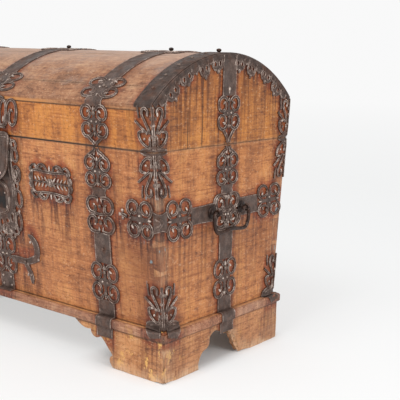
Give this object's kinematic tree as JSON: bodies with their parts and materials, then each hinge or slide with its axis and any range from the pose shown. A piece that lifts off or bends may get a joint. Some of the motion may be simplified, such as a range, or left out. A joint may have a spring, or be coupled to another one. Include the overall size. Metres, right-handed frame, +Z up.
{
  "type": "dowry chest",
  "caption": "Dome-lidded oak dowry chest with pierced wrought-iron straps, corner mounts, hasp, lock and drop handles, on a plinth sawn to bracket feet.",
  "frame": {"origin": "on the floor under the middle of the chest", "axes": "+X along the length, to the right as seen from the front; +Y from the front to the back; +Z up"},
  "size_m": [1.299, 0.6136, 0.8666],
  "materials": {
    "oak_case": "old oiled oak, worn satin",
    "oak_dome": "old oiled oak, greyed",
    "oak_plinth": "old oiled oak, worn edges",
    "pine_inside": "bare sawn softwood",
    "wrought_iron": "hand-forged iron, dark brown patina, edges rubbed bright",
    "nail_iron": "forged iron, heads rubbed bright",
    "lock_iron": "black forged iron"
  },
  "bodies": {
    "case": {"back_board": "oak_case", "back_hinge_centre": "wrought_iron", "back_hinge_left": "wrought_iron", "back_hinge_right": "wrought_iron", "bottom_ledgers": "pine_inside", "bottom_planks": "pine_inside", "case_nails": "nail_iron", "corner_blocks": "pine_inside", "end_strap_left": "wrought_iron", "end_strap_right": "wrought_iron", "front_board": "oak_case", "front_strap_left": "wrought_iron", "front_strap_right": "wrought_iron", "handle_staples_left": "wrought_iron", "handle_staples_right": "wrought_iron", "hinge_pins": "wrought_iron", "left_end_board": "oak_case", "lock_case": "lock_iron", "lock_plate": "wrought_iron", "lock_strap": "wrought_iron", "lower_corner_mounts": "wrought_iron", "plaque_left": "wrought_iron", "plaque_right": "wrought_iron", "plinth_back": "oak_plinth", "plinth_front": "oak_plinth", "plinth_left_end": "oak_plinth", "plinth_mouldings": "oak_plinth", "plinth_right_end": "oak_plinth", "right_end_board": "oak_case", "upper_corner_mounts": "wrought_iron", "wrap_band_left": "wrought_iron", "wrap_band_right": "wrought_iron"},
    "bail_left": {"bail_left": "wrought_iron"},
    "bail_right": {"bail_right": "wrought_iron"},
    "lid": {"edge_band_left": "wrought_iron", "edge_band_right": "wrought_iron", "hasp_pin": "wrought_iron", "lid_back_rail": "oak_case", "lid_corner_mounts": "wrought_iron", "lid_end_strap_left": "wrought_iron", "lid_end_strap_right": "wrought_iron", "lid_front_rail": "oak_case", "lid_keeper": "lock_iron", "lid_left_arch": "oak_case", "lid_nails": "nail_iron", "lid_right_arch": "oak_case", "lid_strap_centre": "wrought_iron", "lid_strap_left": "wrought_iron", "lid_strap_right": "wrought_iron", "ridge_knobs": "wrought_iron", "stave_1": "oak_dome", "stave_2": "oak_dome", "stave_3": "oak_dome", "stave_4": "oak_dome", "stave_5": "oak_dome"},
    "hasp": {"hasp": "wrought_iron"},
    "lock_bolt": {"lock_bolt": "lock_iron"}
  },
  "joints": [
    {"name": "lid_hinge", "type": "hinge", "parent": "case", "child": "lid", "pos_m": [0, 0.2996, 0.607], "axis": [-1, 0, 0], "range_deg": [0, 100]},
    {"name": "hasp_hinge", "type": "hinge", "parent": "lid", "child": "hasp", "pos_m": [0, -0.30108, 0.62226], "axis": [-1, 0, 0], "range_deg": [-4.5, 150]},
    {"name": "lock_bolt_slide", "type": "slide", "parent": "case", "child": "lock_bolt", "axis": [-1, 0, 0], "range_m": [0, 0.022]},
    {"name": "bail_right_hinge", "type": "hinge", "parent": "case", "child": "bail_right", "pos_m": [0.639, 0.005, 0.428], "axis": [0, -1, 0], "range_deg": [-10, 175]},
    {"name": "bail_left_hinge", "type": "hinge", "parent": "case", "child": "bail_left", "pos_m": [-0.639, 0.005, 0.428], "axis": [0, 1, 0], "range_deg": [-10, 175]}
  ]
}
